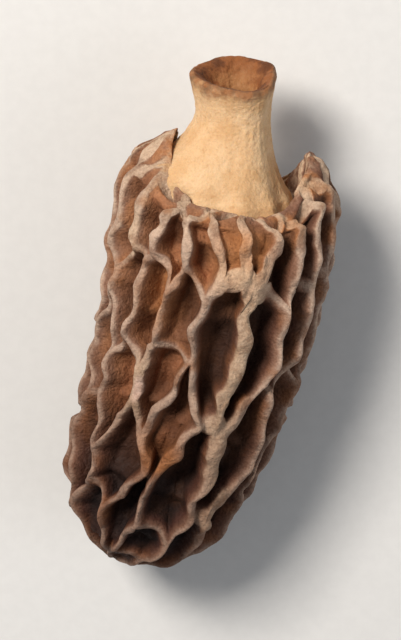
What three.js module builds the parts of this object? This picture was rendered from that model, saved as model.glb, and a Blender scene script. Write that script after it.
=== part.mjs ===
// A dried morel mushroom lying on its side: a pitted, ridged cap on a short hollow stem.
//
// Lengths are millimetres and +Z is up. The stem's cut end points along +Y, the tip of the cap along -Y, and
// the origin is the middle of the footprint on the surface that the mushroom lies on.
//
// The mushroom is first shaped in its own terms. "Along" is the distance along its middle line, from the
// joint of stem and cap: positive up the stem, negative down the cap. "Turn" is the angle round the middle
// line, 0 on the upper side. "Reach" is the distance over the cap's skin, from the joint to the tip.
import * as THREE from "three";
import { mergeVertices } from "three/addons/utils/BufferGeometryUtils.js";

// ---- Driving dimensions ----------------------------------------------------------------------------------

const BEND_RADIUS = 70; // the middle line is an arc from BEND_FROM down to the tip, bent towards -X
const BEND_FROM = 8;
const LYING_TILT = THREE.MathUtils.degToRad(4.5); // the stem's end is raised while the cap lies on its side
const PRESSED = 0.45; // how much of the lowest ridges is worn flat where the cap lies

// The cap's envelope over its ridge crests, as [radius, along], about REACH_STEP apart over the skin.
const CAP_OUTLINE = [
  [4.4, 0],
  [4.85, 2.05],
  [7.05, 1.0],
  [7.65, -2.3],
  [7.5, -5.8],
  [7.35, -9.1],
  [7.15, -12.1],
  [6.9, -15.1],
  [6.6, -18.1],
  [5.9, -21.2],
  [3.9, -24.1],
  [0, -25.6],
];
const REACH_STEP = 3;
const REACH_TOTAL = REACH_STEP * (CAP_OUTLINE.length - 1);
const FREE_FROM = 2.5; // how far from the joint, and from the tip, the net and the saddle take to grow free

// The shoulder is a saddle: it stands up at both sides of the stem, more towards -X, and drops above and
// below it, where the foot of the stem shows. "Size" is that of its wave, "peaks" draws the two high places
// together, and the saddle fades out by the reach "to".
const SADDLE = { size: 1.75, middle: 0.33, lean: 0.3, peaks: 0.3, to: 10 };

// The rim of the higher side leans in to the stem, most at one turn in degrees and at the reach "top".
const LEAN_IN = { size: 1.4, turn: -95, sharpness: 5, from: 1, top: 3, to: 6 };

// The net of ridges.
const MEAN_RADIUS = 7.2; // turns angles into widths where the net is laid out flat
const STRETCH = 0.42; // pits are about 1 / STRETCH times as long as wide
const CREST_HALF = 0.26; // half the thickness of a common ridge
const WALL_FOOT = 0.38; // where a pit's wall meets its floor, as a share of the way to the pit's middle
const RAGGED = 0.14; // how far the crests dip and rise along a ridge
const BRIDGE_SAG = 1.3; // how far a bridge between two ribs sags in the middle
const WANDER = { sideways: 0.24, lengthwise: 0.3 }; // how far the ridges wander off their straight lines
const PIECE_LENGTH = 1.15; // the longest straight piece of a ridge line

// How deep the pits are: at the joint as a share of the full depth, full from one reach, and less at the tip.
const PIT_DEPTH = 2.7;
const SHALLOW = { share: 0.12, to: 3.5, fullFrom: 9 };
const TIP_LESS = { share: 0.65, from: 25 };
const CREST_SLOPE = 0.05; // what a crest falls over its half thickness, as a share of the pit's depth
const WALL_DEPTH = 0.86; // how deep the foot of a pit's wall is, as a share of the pit's depth
const WIDEST_CREST = 0.42; // the most that a crest takes of the way to the pit's middle
const WIDEST_IN_WEB = 0.12; // what the web adds to it
const WALL_LEAST = 0.08; // the least way that a wall takes, as a share of the way to the pit's middle

// One rib down the upper side is thicker than the others: it starts at a broad web of skin under the stem and
// bends aside near the tip. A corner of ridges towards -X is thicker too, and so are an arch over the largest
// pit and the ridges on the shoulder. "Extra" is what each of them adds to a ridge's thickness, as a share of
// it. Turns are degrees, the rib's halfWidth is radians, and the patches' sizes are lengths in the net.
const MAIN_RIB = { turn: 18, turnAtTip: 40, halfWidth: 0.2, from: 8, to: 28, extra: 0.9 };
const WEB = { turn: 10, reach: 9.3, halfWidth: 2.2, halfHeight: 1.2, extra: 1.8 };
const CORNER = { turn: -31, reach: 17.8, halfWidth: 0.9, halfHeight: 2.0, extra: 0.9 };
const ARCH = { turn: -3, reach: 21.6, halfWidth: 2.0, halfHeight: 1.3, extra: 1.0 };
const SHOULDER = { extra: 0.5, from: 7, to: 12 };

// The pits between the foot of the stem and the web are shallow slots, "less" deep by this share.
const SLOTS = { turn: 9, reach: 7.4, halfWidth: 2.0, halfHeight: 2.2, less: 0.7 };
// Bridges sag less and less towards the tip.
const TIP_BRIDGES = { held: 0.8, from: 24, to: 30 };

// Pits on the upper side, as [turn in degrees, reach].
const UPPER_PITS = [
  [-84, 7.2], [-62, 7.8], [-44, 6.0], [-28, 7.9], [-14, 7.7], [1, 5.2], [17, 5.2], [34, 8.0],
  [50, 7.2], [66, 7.0], [84, 8.4], [-80, 12.6], [-56, 12.4], [-36, 12.8], [-18, 12.2], [4.5, 13.6],
  [31, 13.8], [51, 13.0], [68, 12.2], [85, 14.6], [-68, 16.4], [-46, 17.9], [-21, 17.0], [60, 17.6],
  [-90, 20.2], [-9, 19.2], [43, 19.9], [74, 21.0], [-66, 23.8], [-31, 22.9], [5, 24.3], [56, 25.8],
  [-14, 27.6], [-84, 26.8],
];
// The other pits stand in columns down the under side, and in rings at the shoulder and the tip.
const COLUMNS = { count: 8, first: 104, last: 256, from: 6.6, to: 26, pitch: 5.4 };
const RINGS = [
  { count: 15, reach: 2.7 },
  { count: 8, reach: 28.9 },
  { count: 4, reach: 31.4 },
];
// The cap narrows to its tip, so the net is laid out longer there, or its pits would come out as thin flutes.
const TIP_LONGER = { size: 0.125, from: 25 };

// The stem, as [radius, along]: its outer side from the joint to the cut end, then its bore back inwards.
const JOINT_GAP = 0.2;
const STEM_OUTLINE = [
  [0, JOINT_GAP],
  [4.0, JOINT_GAP],
  [4.05, 0.6],
  [3.55, 1.3],
  [3.0, 2.3],
  [2.58, 3.6],
  [2.4, 5.0],
  [2.42, 6.4],
  [2.68, 7.7],
  [2.76, 8.2],
  [2.55, 8.5],
  [2.1, 8.35],
  [1.75, 7.9],
  [1.35, 7.0],
  [1.15, 5.6],
  [1.05, 3.9],
  [0.8, 2.6],
  [0, 2.2],
];
const STEM_SIDES = 48;

// The foot spreads up the higher shoulder: most at one turn in degrees and at the along "top", gone by "to".
// The bore, which is narrower than boreTo, stays as it is.
const SPREAD = { size: 1.0, turn: -80, sharpness: 2, from: 0.1, top: 2.2, to: 6, boreTo: 1.3, fullAt: 2.3 };

// Folds up the dried stem: waves round it whose sizes are shares of its radius, the last only at its foot.
const FOLDS = { size: 0.035, count: 3, phase: 0.5 };
const TWISTED_FOLDS = { size: 0.02, count: 5, twist: 0.3 };
const ROOTS = { size: 0.035, count: 11, to: 3 };
const CUT_SLANT = 0.45; // the cut end leans back on the upper side by this much
const CUT_FROM = 6; // where the slant begins along the stem, and where it is full
const CUT_TO = 8.5;
const CUT_RADIUS = 2.7;

// ---- Small tools -----------------------------------------------------------------------------------------

const { sin, cos, PI, hypot, round, max, min } = Math;
const radians = THREE.MathUtils.degToRad;
const rise = THREE.MathUtils.smoothstep;

// Rises from 0 at "from" to 1 at "top", and falls to 0 at "to".
function hump(value, { from, top, to }) {
  return rise(value, from, top) * (1 - rise(value, top, to));
}

// A bell round one turn, from 1 there to nearly 0 on the other side.
function aroundTurn(turn, bell) {
  return Math.exp(bell.sharpness * (cos(turn - radians(bell.turn)) - 1));
}

// A repeatable stream of numbers from 0 to 1.
function drawer(seed) {
  let state = seed;
  return () => {
    state = (state * 1664525 + 1013904223) % 4294967296;
    return state / 4294967296;
  };
}

// ---- The cap's envelope ----------------------------------------------------------------------------------

// Radius and along at a reach, on a smooth curve through CAP_OUTLINE, with the outward direction there.
function envelope(reach) {
  const last = CAP_OUTLINE.length - 1;
  const [start, next] = CAP_OUTLINE;
  const beforeStart = [2 * start[0] - next[0], 2 * start[1] - next[1]];
  const mirrored = [-CAP_OUTLINE[last - 1][0], CAP_OUTLINE[last - 1][1]];
  const points = [beforeStart, ...CAP_OUTLINE, mirrored];
  const at = min(reach / REACH_STEP, last);
  const span = min(Math.floor(at), last - 1);
  const f = at - span;
  const [p0, p1, p2, p3] = points.slice(span, span + 4);
  const value = (k) =>
    0.5 *
    (2 * p1[k] +
      (p2[k] - p0[k]) * f +
      (2 * p0[k] - 5 * p1[k] + 4 * p2[k] - p3[k]) * f * f +
      (3 * p1[k] - p0[k] - 3 * p2[k] + p3[k]) * f * f * f);
  const slope = (k) =>
    0.5 *
    (p2[k] -
      p0[k] +
      2 * (2 * p0[k] - 5 * p1[k] + 4 * p2[k] - p3[k]) * f +
      3 * (3 * p1[k] - p0[k] - 3 * p2[k] + p3[k]) * f * f);
  const length = hypot(slope(0), slope(1));
  return { radius: value(0), along: value(1), out: [-slope(1) / length, slope(0) / length] };
}

// A point of the mushroom from its distance off the middle line, its along and its turn.
function place(radius, along, turn) {
  const bend = max(0, (BEND_FROM - along) / BEND_RADIUS);
  const middleX = -BEND_RADIUS * (1 - cos(bend));
  const middleY = max(along, BEND_FROM) - BEND_RADIUS * sin(bend);
  const side = radius * sin(turn);
  return new THREE.Vector3(middleX + side * cos(bend), middleY - side * sin(bend), radius * cos(turn));
}

// A point of the cap at a flat place of the net, sunk by a depth under the envelope.
function capPoint({ x, y }, depth) {
  const { radius, along, out } = envelope(y);
  const turn = x / MEAN_RADIUS;
  const saddle = SADDLE.size * rise(y, 0, FREE_FROM) * (1 - rise(y, FREE_FROM, SADDLE.to));
  const peaks = SADDLE.peaks * (cos(4 * turn) - 1);
  const lift = saddle * (SADDLE.middle - cos(2 * turn) - SADDLE.lean * sin(turn) + peaks);
  const inwards = LEAN_IN.size * hump(y, LEAN_IN) * aroundTurn(turn, LEAN_IN);
  return place(max(0, radius - depth * out[0] - inwards), along - depth * out[1] + lift, turn);
}

// ---- The net of ridges, laid out flat: x is turn times MEAN_RADIUS, and y is reach ------------------------

function pitCentres() {
  const draw = drawer(7);
  const centres = UPPER_PITS.map(([turn, reach]) => ({ x: radians(turn) * MEAN_RADIUS, y: reach }));
  for (let k = 0; k < COLUMNS.count; k++) {
    const turn = COLUMNS.first + ((COLUMNS.last - COLUMNS.first) * k) / (COLUMNS.count - 1);
    let reach = COLUMNS.from + (k % 2) * 0.45 * COLUMNS.pitch + 1.5 * draw();
    while (reach < COLUMNS.to) {
      centres.push({ x: radians(turn + 9 * (draw() - 0.5)) * MEAN_RADIUS, y: reach });
      reach += COLUMNS.pitch * (0.75 + 0.55 * draw());
    }
  }
  for (const { count, reach } of RINGS)
    for (let k = 0; k < count; k++) {
      const turn = (360 * (k + 0.3 * (draw() - 0.5))) / count;
      centres.push({ x: radians(turn) * MEAN_RADIUS, y: reach + 0.8 * (draw() - 0.5) });
    }
  return centres;
}

// The part of a polygon that lies nearer to a than to b, with lengths down the cap counted STRETCH times.
function nearerPart(polygon, a, b) {
  const side = (p) =>
    (p.x - (a.x + b.x) / 2) * (b.x - a.x) + STRETCH ** 2 * (p.y - (a.y + b.y) / 2) * (b.y - a.y);
  return polygon.flatMap((p, i) => {
    const q = polygon[(i + 1) % polygon.length];
    const [sp, sq] = [side(p), side(q)];
    const kept = sp <= 0 ? [p] : [];
    if (sp < 0 !== sq < 0) {
      const t = sp / (sp - sq);
      kept.push({ x: p.x + (q.x - p.x) * t, y: p.y + (q.y - p.y) * t });
    }
    return kept;
  });
}

// Where a reach lies in the layout, and the reach of a place in the layout.
function laidOut(reach) {
  return reach + TIP_LONGER.size * max(0, reach - TIP_LONGER.from) ** 2;
}

function backToReach(y) {
  const beyond = max(0, y - TIP_LONGER.from);
  return min(y, TIP_LONGER.from) + (Math.sqrt(1 + 4 * TIP_LONGER.size * beyond) - 1) / (2 * TIP_LONGER.size);
}

// The pit round a centre: all of the layout that is nearer to it than to any other centre, round the cap.
function pitOutline(centre, centres) {
  const around = 2 * PI * MEAN_RADIUS;
  const end = laidOut(REACH_TOTAL);
  let polygon = [
    { x: centre.x - around / 4, y: 0 },
    { x: centre.x + around / 4, y: 0 },
    { x: centre.x + around / 4, y: end },
    { x: centre.x - around / 4, y: end },
  ];
  const middle = { x: centre.x, y: laidOut(centre.y) };
  for (const other of centres)
    for (const lap of [-around, 0, around])
      if (other !== centre || lap !== 0)
        polygon = nearerPart(polygon, middle, { x: other.x + lap, y: laidOut(other.y) });
  return polygon.map(({ x, y }) => ({ x, y: backToReach(y) }));
}

// How free the net is to wander and to sag: not at all at the joint and at the tip, and fully between them.
function freedom(reach) {
  return rise(reach, 0, FREE_FROM) * rise(REACH_TOTAL - reach, 0, FREE_FROM);
}

// Ridges wander a little: every place of the net is shifted by smooth waves, which match round the cap.
function wander({ x, y }) {
  const turn = x / MEAN_RADIUS;
  const free = freedom(y);
  return {
    x: x + WANDER.sideways * free * (sin(0.9 * y + 3 * turn) + 0.5 * sin(2.1 * y - 6 * turn + 1.3)),
    y: y + WANDER.lengthwise * free * sin(5 * turn + 0.8 * y),
  };
}

// How much a place belongs to a patch, from 0 to 1: a bell round the patch's middle.
function patchShare(patch, { x, y }) {
  const sideways = (x - radians(patch.turn) * MEAN_RADIUS) / patch.halfWidth;
  return Math.exp(-(sideways ** 2) - ((y - patch.reach) / patch.halfHeight) ** 2);
}

// How much a place belongs to the main rib, from 0 to 1: a bell round its course.
function mainRibShare({ x, y }) {
  const { turn, turnAtTip, halfWidth, from, to } = MAIN_RIB;
  const course = radians(turn + (turnAtTip - turn) * rise(y, to - 10, to - 3));
  const along = rise(y, from, from + 3) * (1 - rise(y, to - 3, to));
  return along * Math.exp(-(((x / MEAN_RADIUS - course) / halfWidth) ** 2));
}

// Half the thickness of a ridge at a place of the net.
function ridgeHalf(at) {
  const extra = max(
    MAIN_RIB.extra * mainRibShare(at),
    WEB.extra * patchShare(WEB, at),
    CORNER.extra * patchShare(CORNER, at),
    ARCH.extra * patchShare(ARCH, at),
    SHOULDER.extra * (1 - rise(at.y, SHOULDER.from, SHOULDER.to)),
  );
  return CREST_HALF * (1 + extra);
}

// How far a bridge is kept from sagging, from 0 to 1: in the web, in the arch and towards the tip.
function heldUp(at) {
  const nearTip = TIP_BRIDGES.held * rise(at.y, TIP_BRIDGES.from, TIP_BRIDGES.to);
  return max(patchShare(WEB, at), patchShare(ARCH, at), nearTip);
}

// The ridge lines round a pit, as places with the depth of the crest. Ribs down the cap stand full, and the
// bridges between them sag in the middle.
function ridgeLine(outline) {
  return outline.flatMap((p, i) => {
    const q = outline[(i + 1) % outline.length];
    const length = hypot(q.x - p.x, q.y - p.y);
    const across = Math.abs(q.x - p.x) / max(length, 1e-9);
    const pieces = max(1, round(length / PIECE_LENGTH));
    return Array.from({ length: pieces }, (_, k) => {
      const t = k / pieces;
      const at = wander({ x: p.x + (q.x - p.x) * t, y: p.y + (q.y - p.y) * t });
      const turn = at.x / MEAN_RADIUS;
      const ragged = RAGGED * (1 + sin(2.3 * at.y + 4 * turn));
      const sag = BRIDGE_SAG * across ** 2 * 4 * t * (1 - t) * (1 - heldUp(at));
      return { ...at, crest: freedom(at.y) * (ragged + sag) };
    });
  });
}

// How deep the pits are: shallow on the shoulder and in the slots, full on the cap's sides, less at the tip.
function pitDepth(at) {
  const opened = SHALLOW.share + (1 - SHALLOW.share) * rise(at.y, SHALLOW.to, SHALLOW.fullFrom);
  const nearTip = 1 - TIP_LESS.share * rise(at.y, TIP_LESS.from, REACH_TOTAL);
  return PIT_DEPTH * opened * nearTip * (1 - SLOTS.less * patchShare(SLOTS, at));
}

// ---- Meshes ----------------------------------------------------------------------------------------------

// A closed mesh from triangles of points, with shared vertices merged and collapsed triangles dropped.
function closedGeometry(triangles) {
  const positions = triangles.flat().flatMap((p) => [p.x, p.y, p.z]);
  const loose = new THREE.BufferGeometry();
  loose.setAttribute("position", new THREE.Float32BufferAttribute(positions, 3));
  const merged = mergeVertices(loose, 1e-3);
  const index = [];
  for (let i = 0; i < merged.index.count; i += 3) {
    const [a, b, c] = [0, 1, 2].map((k) => merged.index.getX(i + k));
    if (a !== b && b !== c && c !== a) index.push(a, b, c);
  }
  merged.setIndex(index);
  return merged;
}

// One pit: rings of points from the ridge lines round it, over the crest and down the wall, to its floor.
function pitTriangles(outline) {
  const line = ridgeLine(outline);
  const middleOf = (k) => line.reduce((sum, p) => sum + p[k], 0) / line.length;
  const centre = { x: middleOf("x"), y: middleOf("y") };
  const halfWidth = max(...line.map((p) => Math.abs(p.x - centre.x)));
  const halfLength = max(...line.map((p) => Math.abs(p.y - centre.y)));
  const spine = max(0, halfLength - halfWidth) * 0.8; // half the length of the line that the floor is round
  const foot = (p) => ({ x: centre.x, y: centre.y + min(max(p.y - centre.y, -spine), spine) });
  const inward = (p, least, beyond) => {
    const to = foot(p);
    const distance = hypot(to.x - p.x, to.y - p.y);
    const widest = WIDEST_CREST + WIDEST_IN_WEB * patchShare(WEB, p);
    const share = max(least, beyond + min(widest, ridgeHalf(p) / max(distance, 1e-9)));
    return { x: p.x + (to.x - p.x) * share, y: p.y + (to.y - p.y) * share };
  };
  const edge = (p) => {
    const at = inward(p, 0, 0);
    return capPoint(at, p.crest + CREST_SLOPE * pitDepth(at));
  };
  const wallFoot = (p) => {
    const at = inward(p, WALL_FOOT, WALL_LEAST);
    const depth = pitDepth(at);
    return capPoint(at, max(p.crest + 2 * CREST_SLOPE * depth, WALL_DEPTH * depth));
  };
  const rings = [line.map((p) => capPoint(p, p.crest)), line.map(edge), line.map(wallFoot)];
  const floor = capPoint(centre, pitDepth(centre));
  return line.flatMap((_, i) => {
    const j = (i + 1) % line.length;
    const walls = [0, 1].flatMap((r) => {
      const [a, b, c, d] = [rings[r][i], rings[r][j], rings[r + 1][j], rings[r + 1][i]];
      return [[a, c, b], [a, d, c]];
    });
    return [...walls, [rings[2][i], floor, rings[2][j]]];
  });
}

// The round face in the shoulder where the stem joins the cap.
function jointTriangles(outlines) {
  const around = 2 * PI * MEAN_RADIUS;
  const lap = (x) => ((x % around) + around) % around;
  const rim = outlines
    .flatMap(ridgeLine)
    .filter((p) => p.y < 1e-6)
    .sort((p, q) => lap(p.x) - lap(q.x))
    .map((p) => capPoint(p, 0));
  const middle = place(0, 0, 0);
  return rim.map((p, i) => [p, rim[(i + 1) % rim.length], middle]);
}

function capGeometry() {
  const centres = pitCentres();
  const outlines = centres.map((centre) => pitOutline(centre, centres));
  return closedGeometry([...outlines.flatMap(pitTriangles), ...jointTriangles(outlines)]);
}

// How much wider the stem is where its foot spreads up the shoulder. Its bore stays as it is.
function stemSpread(radius, along, turn) {
  const outer = rise(radius, SPREAD.boreTo, SPREAD.fullAt);
  return SPREAD.size * outer * hump(along, SPREAD) * aroundTurn(turn, SPREAD);
}

// The stem is turned from its outline, then dried: shallow folds run up its side, and finer ones its foot.
function stemGeometry() {
  const outline = STEM_OUTLINE.map(([radius, along]) => new THREE.Vector2(radius, along));
  const turned = new THREE.LatheGeometry(outline, STEM_SIDES);
  turned.deleteAttribute("normal");
  turned.deleteAttribute("uv");
  const at = turned.getAttribute("position");
  for (let i = 0; i < at.count; i++) {
    const radius = hypot(at.getX(i), at.getZ(i));
    const turn = Math.atan2(at.getX(i), at.getZ(i));
    const along = at.getY(i);
    const folds = FOLDS.size * sin(FOLDS.count * turn + FOLDS.phase);
    const twisted = TWISTED_FOLDS.size * sin(TWISTED_FOLDS.count * turn - TWISTED_FOLDS.twist * along);
    const roots = ROOTS.size * (1 - rise(along, 0, ROOTS.to)) * sin(ROOTS.count * turn);
    const slant = CUT_SLANT * rise(along, CUT_FROM, CUT_TO) * cos(turn) * (radius / CUT_RADIUS);
    const wider = stemSpread(radius, along, turn);
    const p = place(radius * (1 + folds + twisted + roots) + wider, along - slant, turn);
    at.setXYZ(i, p.x, p.y, p.z);
  }
  const merged = mergeVertices(turned, 1e-3);
  const corners = Array.from(merged.index.array, (k) => {
    const from = merged.getAttribute("position");
    return new THREE.Vector3().fromBufferAttribute(from, k);
  });
  const triangles = [];
  for (let i = 0; i < corners.length; i += 3) triangles.push(corners.slice(i, i + 3));
  return closedGeometry(triangles);
}

// ---- Lying down ------------------------------------------------------------------------------------------

// Tilts the pieces, lowers them until the lowest ridges are pressed, and centres them over the origin.
function layDown(geometries) {
  const box = new THREE.Box3();
  for (const geometry of geometries) {
    geometry.rotateX(LYING_TILT);
    geometry.computeBoundingBox();
    box.union(geometry.boundingBox);
  }
  const middle = box.getCenter(new THREE.Vector3());
  for (const geometry of geometries) {
    geometry.translate(-middle.x, -middle.y, -box.min.z - PRESSED);
    const at = geometry.getAttribute("position");
    for (let i = 0; i < at.count; i++) at.setZ(i, max(0, at.getZ(i)));
  }
}

// ---- The mushroom ----------------------------------------------------------------------------------------

const cap = new THREE.Mesh(
  capGeometry(),
  new THREE.MeshStandardMaterial({ color: "#6b4a2e", roughness: 0.85, metalness: 0 }),
);
cap.name = "cap";

const stem = new THREE.Mesh(
  stemGeometry(),
  new THREE.MeshStandardMaterial({ color: "#e2c695", roughness: 0.8, metalness: 0 }),
);
stem.name = "stem";

layDown([cap.geometry, stem.geometry]);

const morel = new THREE.Group();
morel.add(cap, stem);
export default morel;
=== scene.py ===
"""A dried morel mushroom lying on its side, with its pale floor, soft light and camera.

The mushroom is shaped in millimetres, in its own terms. "Along" is the distance along its middle line from the joint
of stem and cap, positive up the stem. "Radius" is the distance off that line, and "turn" the angle round it, 0 on the
upper side. "Reach" is the distance over the cap's skin from the joint to the tip. The cap's net of ridges is laid out
flat, with x as turn times a mean radius, and y as reach.
"""
import logging
from collections.abc import Iterator
from dataclasses import dataclass, replace
from enum import Enum
from math import cos, dist, pi, radians, sin

import bpy
import numpy as np
from mathutils import Matrix, Vector


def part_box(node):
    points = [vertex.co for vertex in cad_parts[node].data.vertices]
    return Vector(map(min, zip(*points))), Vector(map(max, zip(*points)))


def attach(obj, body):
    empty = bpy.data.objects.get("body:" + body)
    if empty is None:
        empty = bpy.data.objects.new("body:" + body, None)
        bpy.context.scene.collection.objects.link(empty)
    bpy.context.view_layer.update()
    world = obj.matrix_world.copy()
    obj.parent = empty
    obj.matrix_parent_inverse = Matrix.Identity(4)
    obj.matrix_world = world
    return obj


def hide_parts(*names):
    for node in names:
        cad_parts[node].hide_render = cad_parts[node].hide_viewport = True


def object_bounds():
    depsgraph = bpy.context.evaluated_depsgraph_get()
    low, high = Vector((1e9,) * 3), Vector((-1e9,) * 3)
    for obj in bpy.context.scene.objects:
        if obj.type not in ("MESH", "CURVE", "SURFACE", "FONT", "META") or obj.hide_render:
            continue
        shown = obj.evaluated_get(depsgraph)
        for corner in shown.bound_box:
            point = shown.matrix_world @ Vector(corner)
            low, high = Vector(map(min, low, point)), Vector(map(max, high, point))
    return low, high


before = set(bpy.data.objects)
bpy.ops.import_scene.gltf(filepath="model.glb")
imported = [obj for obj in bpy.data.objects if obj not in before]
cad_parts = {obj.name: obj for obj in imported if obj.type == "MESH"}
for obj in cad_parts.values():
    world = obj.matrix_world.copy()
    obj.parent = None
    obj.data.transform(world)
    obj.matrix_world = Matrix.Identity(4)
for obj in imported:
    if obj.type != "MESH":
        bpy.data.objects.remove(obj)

Array = np.ndarray
Colour = tuple[float, float, float]
Numbers = tuple[float, ...]
Pairs = tuple[Numbers, ...]
Skin = tuple[Array, Array, dict[str, Array]]
Socket = bpy.types.NodeSocket

CAD_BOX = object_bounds()
MM = 0.001
TINY = 1e-9
LOG = logging.getLogger("morel")


class Slot(Enum):
    """The part's material slots."""

    CAP = "cap_skin"
    STEM = "stem_skin"


def rise(value: Array, low: float, high: float) -> Array:
    """Goes smoothly from 0 at low to 1 at high: t squared times (3 - 2 t), t being the share of the way."""
    t = np.clip((value - low) / (high - low), 0, 1)
    return t * t * (3 - 2 * t)


def plateau(value: Array, low: float, full: float, until: float, high: float) -> Array:
    """Rises from 0 at low to 1 at full, and falls from 1 at until to 0 at high."""
    return rise(value, low, full) * (1 - rise(value, until, high))


def bell(t: Array) -> Array:
    """Falls from 1 at 0 to nearly 0 at 2 and -2: the exponential of minus t squared."""
    return np.exp(-(t**2))


def smooth_curve(points: Array, at: Array) -> tuple[Array, Array]:
    """Follows a smooth curve through points: cubics, with half the step between a point's neighbours as its slope.

    Args:
        points: the points, with one more at each end.
        at: how far along the curve, in points.

    Returns:
        The places and the slopes there.
    """
    last = len(points) - 3
    at = np.clip(np.asarray(at, float), 0, last)
    span = np.minimum(np.floor(at).astype(int), last - 1)
    f = (at - span)[..., None]
    p0, p1, p2, p3 = (points[span + k] for k in range(4))
    bow = 2 * p0 - 5 * p1 + 4 * p2 - p3
    twist = 3 * p1 - p0 - 3 * p2 + p3
    place = 0.5 * (2 * p1 + (p2 - p0) * f + bow * f**2 + twist * f**3)
    slope = 0.5 * (p2 - p0 + 2 * bow * f + 3 * twist * f**2)
    return place, slope


def grain(points: Array, size: float, seed: int) -> Array:
    """Gives smooth noise: t squared times (3 - 2 t) blends numbers stirred from the indices of lattice corners.

    Args:
        points: places in space.
        size: the lattice's step, about the size of a bump.
        seed: picks another noise.

    Returns:
        A number from -1 to 1 for each place, the same on each run.
    """
    scaled = points / size
    corner = np.floor(scaled).astype(np.int64)
    t = scaled - corner
    t = t * t * (3 - 2 * t)
    total = np.zeros(points.shape[:-1])
    for bits in range(8):
        step = np.array([bits & 1, bits >> 1 & 1, bits >> 2 & 1])
        i, j, k = np.moveaxis(corner + step, -1, 0)
        stirred = (i * 73856093 ^ j * 19349663 ^ k * 83492791 ^ seed * 6291469) & 0xFFFFFFFF
        stirred = (stirred ^ stirred >> 15) * 2246822519 & 0xFFFFFFFF
        stirred = (stirred ^ stirred >> 13) * 3266489917 & 0xFFFFFFFF
        value = (stirred ^ stirred >> 16) / 0x7FFFFFFF - 1
        total += value * np.prod(np.where(step == 1, t, 1 - t), axis=-1)
    return total


def lattice(shape: tuple[int, int]) -> Array:
    """Joins a grid of corners, closed round its first axis, by two triangles for every four.

    Args:
        shape: how many corners it has each way.

    Returns:
        Three corner numbers for each triangle.
    """
    corner = np.arange(shape[0] * shape[1]).reshape(shape)
    after = np.roll(corner, -1, axis=0)
    a, b, c, d = corner[:, :-1], corner[:, 1:], after[:, 1:], after[:, :-1]
    return np.stack([a, c, d, a, b, c], -1).reshape(-1, 3)


def weld(points: Array, triangles: Array, attributes: dict[str, Array]) -> Skin:
    """Makes corners at one place into one, and drops the triangles that this closes up.

    Args:
        points, triangles, attributes: the corners, the triangles, and numbers for the corners, by name.

    Returns:
        What is left of each.
    """
    keys = np.round(points * 1e5).astype(np.int64)
    _, first, where = np.unique(keys, axis=0, return_index=True, return_inverse=True)
    triangles = where.reshape(-1)[triangles]
    a, b, c = triangles.T
    kept = triangles[(a != b) & (b != c) & (c != a)]
    return points[first], kept, {key: values[first] for key, values in attributes.items()}


@dataclass(frozen=True)
class Wave:
    """A sine wave over a skin: its height, its pace by length and by turn, and its start."""

    height: float
    by_length: float
    by_turn: float
    start: float = 0.0

    def at(self, length: Array, turn: Array) -> Array:
        """Gives height times sin(by_length times length + by_turn times turn + start)."""
        return self.height * np.sin(self.by_length * length + self.by_turn * turn + self.start)


@dataclass(frozen=True)
class Lobe:
    """A bulge on one side: its height, its top's turn, and how narrow it is."""

    height: float
    turn: float
    focus: float

    def at(self, turn: Array) -> Array:
        """Gives height times exp(focus times (cos(turn from its top) - 1))."""
        return self.height * np.exp(self.focus * (np.cos(turn - self.turn) - 1))


@dataclass(frozen=True)
class Bumps:
    """Noise over a skin: its height, size and seed, and its layers, each half as large and high as the last."""

    height: float
    size: float
    seed: int
    layers: int = 1

    def at(self, points: Array) -> Array:
        """Gives height times the layers' sum, over the sum of their heights."""
        layers = sum(grain(points, self.size / 2**k, self.seed + 17 * k) / 2**k for k in range(self.layers))
        return self.height * layers / (2 - 2 ** (1 - self.layers))


@dataclass(frozen=True)
class Body:
    """The middle line, straight above bend_from and an arc of bend_radius below it, and the way the mushroom lies."""

    bend_radius: float = 70.0
    bend_from: float = 8.0
    lying_tilt: float = radians(4.5)
    shift: Numbers = (0.0, 0.0, 0.0)

    def place(self, radius: Array, along: Array, turn: Array) -> Array:
        """Gives points: the middle line's, plus radius times (sideways times sin(turn) + upwards times cos(turn)).

        Args:
            radius, along, turn: places in the mushroom's own terms.

        Returns:
            The points.
        """
        bend = np.maximum(0, (self.bend_from - along) / self.bend_radius)
        middle_x = -self.bend_radius * (1 - np.cos(bend))
        middle_y = np.maximum(along, self.bend_from) - self.bend_radius * np.sin(bend)
        side = radius * np.sin(turn)
        x, y = middle_x + side * np.cos(bend), middle_y - side * np.sin(bend)
        return np.stack([x, y, radius * np.cos(turn) + 0 * side], -1)

    def tilt(self, points: Array) -> Array:
        """Turns points about X by the lying tilt."""
        c, s = cos(self.lying_tilt), sin(self.lying_tilt)
        x, y, z = np.moveaxis(points, -1, 0)
        return np.stack([x, y * c - z * s, y * s + z * c], -1)

    def lay(self, points: Array) -> Array:
        """Tilts points, shifts them into the frame, and presses flat what is under the floor."""
        laid = self.tilt(points) + np.array(self.shift)
        laid[..., 2] = np.maximum(0, laid[..., 2])
        return laid


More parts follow.
